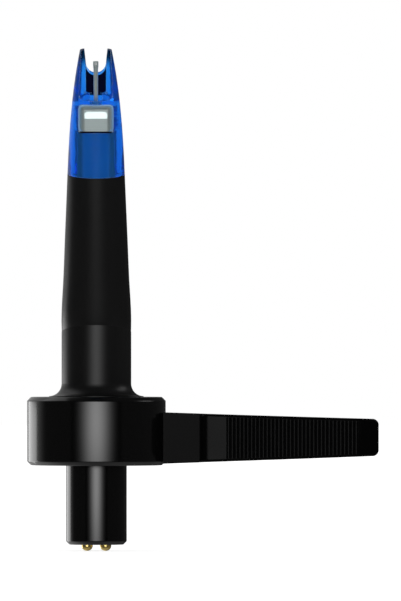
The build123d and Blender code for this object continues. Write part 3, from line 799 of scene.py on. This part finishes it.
class CARTRIDGE_OT_slot_shade_sheet(bpy.types.Operator):
    """Put a dark sheet of painted shade under the slot's roof behind the cantilever"""

    bl_idname = "cartridge.slot_lining"
    bl_label = "Slot lining"

    def execute(self, context):
        size = context.scene.cartridge_slot
        x = np.linspace(-size.half_w, size.half_w, 41)
        # Front edge: the notch's circle moved back by the inset. Rear edge: a line with round corners.
        front = size.notch_z - np.sqrt(np.clip(size.notch_r**2 - x**2, 0, None)) - size.inset
        out = np.clip(np.abs(x) - (size.half_w - size.corner_r), 0, size.corner_r)
        rear = size.rear_z + size.corner_r - np.sqrt(size.corner_r**2 - out**2)
        level = np.stack([front, rear, rear, front], axis=-1)
        h = size.roof_h + np.array([0, 0, size.thickness, size.thickness])[None, :]
        s = (level - BELLY_Z - h * sin(DROOP)) / cos(DROOP)
        grid = nose_point(x[:, None], h, s)
        ends = grid.mean(axis=1, keepdims=True) + 0 * grid
        grid = np.concatenate([ends[:1], grid, ends[-1:]])
        # The sheet's navy is painted shade in the slot.
        put_piece("slot_lining", grid, "stylus_unit", bpy.data.materials["painted_slot_shade"])
        return {"FINISHED"}


class CARTRIDGE_OT_stage(bpy.types.Operator):
    """Set up the floor, the lamps, the world and the camera"""

    bl_idname = "cartridge.stage"
    bl_label = "Stage"

    def execute(self, context):
        size = context.scene.cartridge_stage
        self.floor(size)
        self.front_panel(size)
        powers = {"top": size.top_power, "side": size.side_power, "rear": size.rear_power}
        for name, (place, aim, width, height) in SOFTBOXES.items():
            self.lamp(f"{name}_softbox", place, aim, width, height, powers[name])
        self.world(context, size)
        camera = bpy.data.cameras.new("camera")
        camera.lens = size.lens
        camera.sensor_width = 36.0
        camera.clip_start = 0.01
        camera.clip_end = 20.0
        holder = bpy.data.objects.new("camera", camera)
        holder.location = (size.camera_x, size.camera_y, size.camera_z)
        holder.rotation_euler = (pi / 2, 0, 0)
        context.scene.collection.objects.link(holder)
        context.scene.camera = holder
        context.scene.view_settings.view_transform = "Standard"
        return {"FINISHED"}

    def lamp(self, name, place, aim, width, height, power):
        """An area lamp that the camera doesn't see."""
        light = bpy.data.lights.new(name, "AREA")
        light.shape = "RECTANGLE"
        light.size = width
        light.size_y = height
        light.energy = power
        holder = bpy.data.objects.new(name, light)
        holder.location = place
        direction = Vector(aim) - Vector(place)
        holder.rotation_euler = direction.to_track_quat("-Z", "Y").to_euler()
        holder.visible_camera = False
        bpy.context.scene.collection.objects.link(holder)

    def sheet(self, name, corners, material):
        """A flat sheet of the studio that casts no shadow."""
        mesh = bpy.data.meshes.new(name)
        mesh.from_pydata(corners, [], [(0, 1, 2, 3)])
        mesh.materials.append(material)
        made = bpy.data.objects.new(name, mesh)
        made.visible_shadow = False
        bpy.context.scene.collection.objects.link(made)
        return made

    def front_panel(self, size):
        """A soft panel that glows most in its middle.

        Its light is the level times e^-(x^2 + (z/flatness)^2)/(2 spread^2), with z from its middle.
        """
        half, away, middle, flatness, euler = 0.5, -0.55, 0.02, 0.65, 2.71828
        material = bpy.data.materials.new("front_panel")
        material.use_nodes = True
        tree = material.node_tree
        tree.nodes.clear()
        place = node(tree, "ShaderNodeTexCoord")
        split = node(tree, "ShaderNodeSeparateXYZ")
        tree.links.new(place.outputs["Object"], split.inputs[0])
        up = math(tree, "DIVIDE", math(tree, "SUBTRACT", split.outputs["Z"], middle), flatness)
        across = math(tree, "POWER", math(tree, "ABSOLUTE", split.outputs["X"], 0), 2)
        square = math(tree, "ADD", across, math(tree, "MULTIPLY", up, up))
        glow = math(tree, "POWER", euler, math(tree, "DIVIDE", square, -2 * size.front_spread**2))
        emission = node(tree, "ShaderNodeEmission")
        back = node(tree, "ShaderNodeNewGeometry")
        ahead = math(tree, "SUBTRACT", 1.0, back.outputs["Backfacing"])
        strength = math(tree, "MULTIPLY", math(tree, "MULTIPLY", glow, size.front_level), ahead)
        tree.links.new(strength, emission.inputs["Strength"])
        output = node(tree, "ShaderNodeOutputMaterial")
        tree.links.new(emission.outputs[0], output.inputs["Surface"])
        corners = [(-half, away, -half), (-half, away, half), (half, away, half), (half, away, -half)]
        panel = self.sheet("front_panel", corners, material)
        panel.visible_camera = False

    def floor(self, size):
        """A pale floor under the contacts: its own white plus the light that falls on it."""
        low = CAD_BOX[0].z
        half = size.floor_half
        material = bpy.data.materials.new("pale_floor")
        material.use_nodes = True
        tree = material.node_tree
        shader = tree.nodes["Principled BSDF"]
        shader.inputs["Base Color"].default_value = (0.8, 0.8, 0.8, 1)
        shader.inputs["Roughness"].default_value = 1.0
        shader.inputs["Specular IOR Level"].default_value = 0.0
        path = node(tree, "ShaderNodeLightPath")
        shader.inputs["Emission Color"].default_value = (1, 1, 1, 1)
        place = node(tree, "ShaderNodeTexCoord")
        reach = node(tree, "ShaderNodeVectorMath", operation="LENGTH")
        tree.links.new(place.outputs["Object"], reach.inputs[0])
        fade = ramp(tree, reach.outputs["Value"], low=0.03, high=0.3, start=0.77, end=1.0)
        glow = math(tree, "MULTIPLY", path.outputs["Is Camera Ray"], fade)
        tree.links.new(glow, shader.inputs["Emission Strength"])
        corners = [(-half, -half, low), (half, -half, low), (half, half, low), (-half, half, low)]
        floor = self.sheet("floor", corners, material)
        floor.visible_glossy = False
        floor.visible_transmission = False

    def world(self, context, size):
        """White for the camera, even light for dull pieces, a left rear for gloss and a rear for glass."""
        world = bpy.data.worlds.new("studio")
        world.use_nodes = True
        world.cycles.sampling_method = "NONE"
        context.scene.world = world
        tree = world.node_tree
        background = tree.nodes["Background"]
        background.inputs["Color"].default_value = (1, 1, 1, 1)
        path = node(tree, "ShaderNodeLightPath")
        place = node(tree, "ShaderNodeTexCoord")
        split = node(tree, "ShaderNodeSeparateXYZ")
        tree.links.new(place.outputs["Generated"], split.inputs[0])
        edge_level, even_gloss = 0.5, 0.04
        rear = ramp(tree, split.outputs["Y"], low=0.05, high=0.6, start=0.0, end=1.0)
        left = ramp(tree, split.outputs["X"], low=-0.12, high=0.12, start=1.0, end=0.0)
        edge = math(tree, "MULTIPLY", math(tree, "MULTIPLY", rear, left), edge_level)
        under = ramp(tree, split.outputs["Z"], low=-0.9, high=-0.55, start=0.13, end=0.0)
        bounce = ramp(tree, split.outputs["Z"], low=-0.5, high=-0.25, start=0.1, end=0.0)
        gloss = math(tree, "ADD", math(tree, "ADD", edge, under), math(tree, "ADD", bounce, even_gloss))
        clear = ramp(tree, split.outputs["Y"], low=0.1, high=0.9, start=0.35, end=1.0)
        seen = path.outputs["Is Camera Ray"]
        mirror = math(tree, "SUBTRACT", path.outputs["Is Glossy Ray"], path.outputs["Is Transmission Ray"])
        glossy = math(tree, "MULTIPLY", math(tree, "MAXIMUM", mirror, 0), gloss)
        through = math(tree, "MULTIPLY", path.outputs["Is Transmission Ray"], clear)
        dull = math(tree, "MULTIPLY", path.outputs["Is Diffuse Ray"], size.ambient)
        total = math(tree, "ADD", math(tree, "ADD", seen, glossy), math(tree, "ADD", through, dull))
        tree.links.new(total, background.inputs["Strength"])


class CARTRIDGE_PT_panel(bpy.types.Panel):
    """The cartridge's pieces and settings."""

    bl_idname = "CARTRIDGE_PT_panel"
    bl_label = "Cartridge"
    bl_space_type = "VIEW_3D"
    bl_region_type = "UI"
    bl_category = "Cartridge"

    def draw(self, context):
        for operator in OPERATORS:
            self.layout.operator(operator.bl_idname)
        for name in SETTINGS:
            settings = getattr(context.scene, name)
            for key in settings.__annotations__:
                self.layout.prop(settings, key)


SETTINGS = {
    "cartridge_collar": CollarSettings,
    "cartridge_contact": ContactSettings,
    "cartridge_block": BlockSettings,
    "cartridge_housing": HousingSettings,
    "cartridge_slot": SlotSettings,
    "cartridge_finish": FinishSettings,
    "cartridge_stage": StageSettings,
}
OPERATORS = (
    CARTRIDGE_OT_finishes,
    CARTRIDGE_OT_collar,
    CARTRIDGE_OT_plug,
    CARTRIDGE_OT_contacts,
    CARTRIDGE_OT_block_pad,
    CARTRIDGE_OT_housing,
    CARTRIDGE_OT_slot_shade_sheet,
    CARTRIDGE_OT_stage,
)
CLASSES = (*SETTINGS.values(), *OPERATORS, CARTRIDGE_PT_panel)


def register():
    """Register the classes and hang the settings on the scene."""
    for item in CLASSES:
        bpy.utils.register_class(item)
    for name, settings in SETTINGS.items():
        setattr(bpy.types.Scene, name, PointerProperty(type=settings))


def unregister():
    """Take the settings and the classes away again."""
    for name in SETTINGS:
        delattr(bpy.types.Scene, name)
    for item in reversed(CLASSES):
        bpy.utils.unregister_class(item)


def main():
    """Build every piece in order."""
    register()
    bpy.ops.cartridge.finishes()
    bpy.ops.cartridge.collar()
    bpy.ops.cartridge.plug()
    bpy.ops.cartridge.contacts()
    bpy.ops.cartridge.block_pad()
    bpy.ops.cartridge.housing()
    bpy.ops.cartridge.slot_lining()
    bpy.ops.cartridge.stage()


if __name__ == "__main__":
    main()
